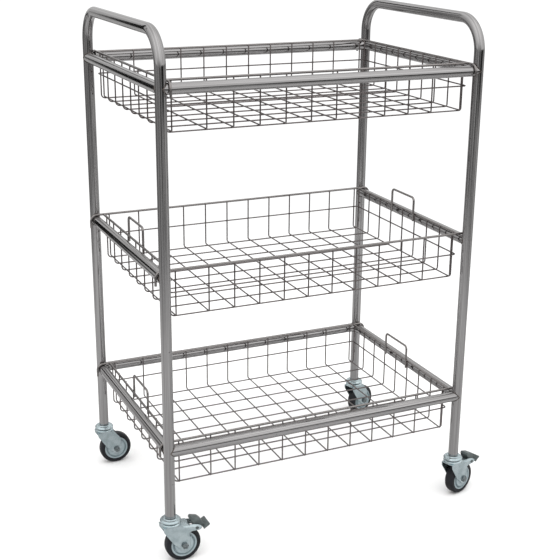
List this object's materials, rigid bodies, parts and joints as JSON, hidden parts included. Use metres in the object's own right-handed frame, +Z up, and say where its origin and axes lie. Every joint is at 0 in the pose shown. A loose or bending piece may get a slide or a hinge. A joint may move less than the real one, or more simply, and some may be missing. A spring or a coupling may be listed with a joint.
{
  "type": "rolling utility cart",
  "caption": "Rolling utility cart with bent round-tube end frames, cross rails, lift-off wire baskets hooked over the rails, and swivel casters, the front ones with brake pedals.",
  "frame": {"origin": "on the floor, in the middle of the four posts", "axes": "+X along the cart's length from the left push handle to the right one, -Y the front, +Z up"},
  "size_m": [0.7841, 0.5251, 1.081],
  "materials": {
    "stainless_tube": "satin drawn stainless tube",
    "stainless_wire": "bright stainless wire",
    "zinc_plated_steel": "bright zinc with a faint blue cast",
    "black_rubber": "matt black rubber",
    "grey_plastic": "moulded grey plastic",
    "pedal_plastic": "moulded dark grey-green plastic"
  },
  "bodies": {
    "cart_frame": {"left_frame_tube": "stainless_tube", "right_frame_tube": "stainless_tube", "front_top_rail": "stainless_tube", "back_top_rail": "stainless_tube", "left_top_rail": "stainless_tube", "right_top_rail": "stainless_tube", "left_middle_rail": "stainless_tube", "right_middle_rail": "stainless_tube", "front_bottom_rail": "stainless_tube", "back_bottom_rail": "stainless_tube", "left_bottom_rail": "stainless_tube", "right_bottom_rail": "stainless_tube", "front_left_caster_stem": "zinc_plated_steel", "front_left_caster_upper_ring": "zinc_plated_steel", "back_left_caster_stem": "zinc_plated_steel", "back_left_caster_upper_ring": "zinc_plated_steel", "front_right_caster_stem": "zinc_plated_steel", "front_right_caster_upper_ring": "zinc_plated_steel", "back_right_caster_stem": "zinc_plated_steel", "back_right_caster_upper_ring": "zinc_plated_steel"},
    "top_basket": {"top_basket_rim": "stainless_tube", "top_basket_mesh": "stainless_wire", "top_basket_waist_ring": "stainless_wire"},
    "middle_basket": {"middle_basket_rim": "stainless_tube", "middle_basket_mesh": "stainless_wire", "middle_basket_waist_ring": "stainless_wire", "middle_basket_left_handle": "stainless_tube", "middle_basket_right_handle": "stainless_tube"},
    "bottom_basket": {"bottom_basket_rim": "stainless_tube", "bottom_basket_mesh": "stainless_wire", "bottom_basket_waist_ring": "stainless_wire", "bottom_basket_left_handle": "stainless_tube", "bottom_basket_right_handle": "stainless_tube"},
    "front_left_caster_swivel": {"front_left_caster_fork": "zinc_plated_steel", "front_left_caster_axle_bolt": "zinc_plated_steel", "front_left_caster_axle_nut": "zinc_plated_steel"},
    "front_left_caster_wheel": {"front_left_caster_wheel_core": "grey_plastic", "front_left_caster_tyre": "black_rubber"},
    "back_left_caster_swivel": {"back_left_caster_fork": "zinc_plated_steel", "back_left_caster_axle_bolt": "zinc_plated_steel", "back_left_caster_axle_nut": "zinc_plated_steel"},
    "back_left_caster_wheel": {"back_left_caster_wheel_core": "grey_plastic", "back_left_caster_tyre": "black_rubber"},
    "front_right_caster_swivel": {"front_right_caster_fork": "zinc_plated_steel", "front_right_caster_axle_bolt": "zinc_plated_steel", "front_right_caster_axle_nut": "zinc_plated_steel"},
    "front_right_caster_wheel": {"front_right_caster_wheel_core": "grey_plastic", "front_right_caster_tyre": "black_rubber"},
    "back_right_caster_swivel": {"back_right_caster_fork": "zinc_plated_steel", "back_right_caster_axle_bolt": "zinc_plated_steel", "back_right_caster_axle_nut": "zinc_plated_steel"},
    "back_right_caster_wheel": {"back_right_caster_wheel_core": "grey_plastic", "back_right_caster_tyre": "black_rubber"},
    "front_left_brake_pedal": {"front_left_caster_brake_pedal": "pedal_plastic"},
    "front_right_brake_pedal": {"front_right_caster_brake_pedal": "pedal_plastic"}
  },
  "joints": [
    {"name": "front_left_caster_swivel_turn", "type": "hinge", "parent": "cart_frame", "child": "front_left_caster_swivel", "pos_m": [-0.34, -0.236, 0.09], "axis": [0, 0, 1], "continuous": true},
    {"name": "front_left_caster_wheel_spin", "type": "hinge", "parent": "front_left_caster_swivel", "child": "front_left_caster_wheel", "pos_m": [-0.315, -0.236, 0.0375], "axis": [0, 1, 0], "continuous": true},
    {"name": "back_left_caster_swivel_turn", "type": "hinge", "parent": "cart_frame", "child": "back_left_caster_swivel", "pos_m": [-0.34, 0.236, 0.09], "axis": [0, 0, 1], "continuous": true},
    {"name": "back_left_caster_wheel_spin", "type": "hinge", "parent": "back_left_caster_swivel", "child": "back_left_caster_wheel", "pos_m": [-0.315, 0.236, 0.0375], "axis": [0, 1, 0], "continuous": true},
    {"name": "front_right_caster_swivel_turn", "type": "hinge", "parent": "cart_frame", "child": "front_right_caster_swivel", "pos_m": [0.34, -0.236, 0.09], "axis": [0, 0, 1], "continuous": true},
    {"name": "front_right_caster_wheel_spin", "type": "hinge", "parent": "front_right_caster_swivel", "child": "front_right_caster_wheel", "pos_m": [0.36364, -0.22786, 0.0375], "axis": [-0.3256, 0.9455, 0], "continuous": true},
    {"name": "back_right_caster_swivel_turn", "type": "hinge", "parent": "cart_frame", "child": "back_right_caster_swivel", "pos_m": [0.34, 0.236, 0.09], "axis": [0, 0, 1], "continuous": true},
    {"name": "back_right_caster_wheel_spin", "type": "hinge", "parent": "back_right_caster_swivel", "child": "back_right_caster_wheel", "pos_m": [0.36364, 0.24414, 0.0375], "axis": [-0.3256, 0.9455, 0], "continuous": true},
    {"name": "front_left_brake_pedal_press", "type": "hinge", "parent": "front_left_caster_swivel", "child": "front_left_brake_pedal", "pos_m": [-0.288, -0.236, 0.0725], "axis": [0, 1, 0], "range_deg": [0, 15]},
    {"name": "front_right_brake_pedal_press", "type": "hinge", "parent": "front_right_caster_swivel", "child": "front_right_brake_pedal", "pos_m": [0.38917, -0.21907, 0.0725], "axis": [-0.3256, 0.9455, 0], "range_deg": [0, 15]},
    {"name": "top_basket_lift", "type": "slide", "parent": "cart_frame", "child": "top_basket", "axis": [0, 0, 1], "range_m": [0, 0.25]},
    {"name": "middle_basket_lift", "type": "slide", "parent": "cart_frame", "child": "middle_basket", "axis": [0, 0, 1], "range_m": [0, 0.2]},
    {"name": "bottom_basket_lift", "type": "slide", "parent": "cart_frame", "child": "bottom_basket", "axis": [0, 0, 1], "range_m": [0, 0.2]}
  ]
}
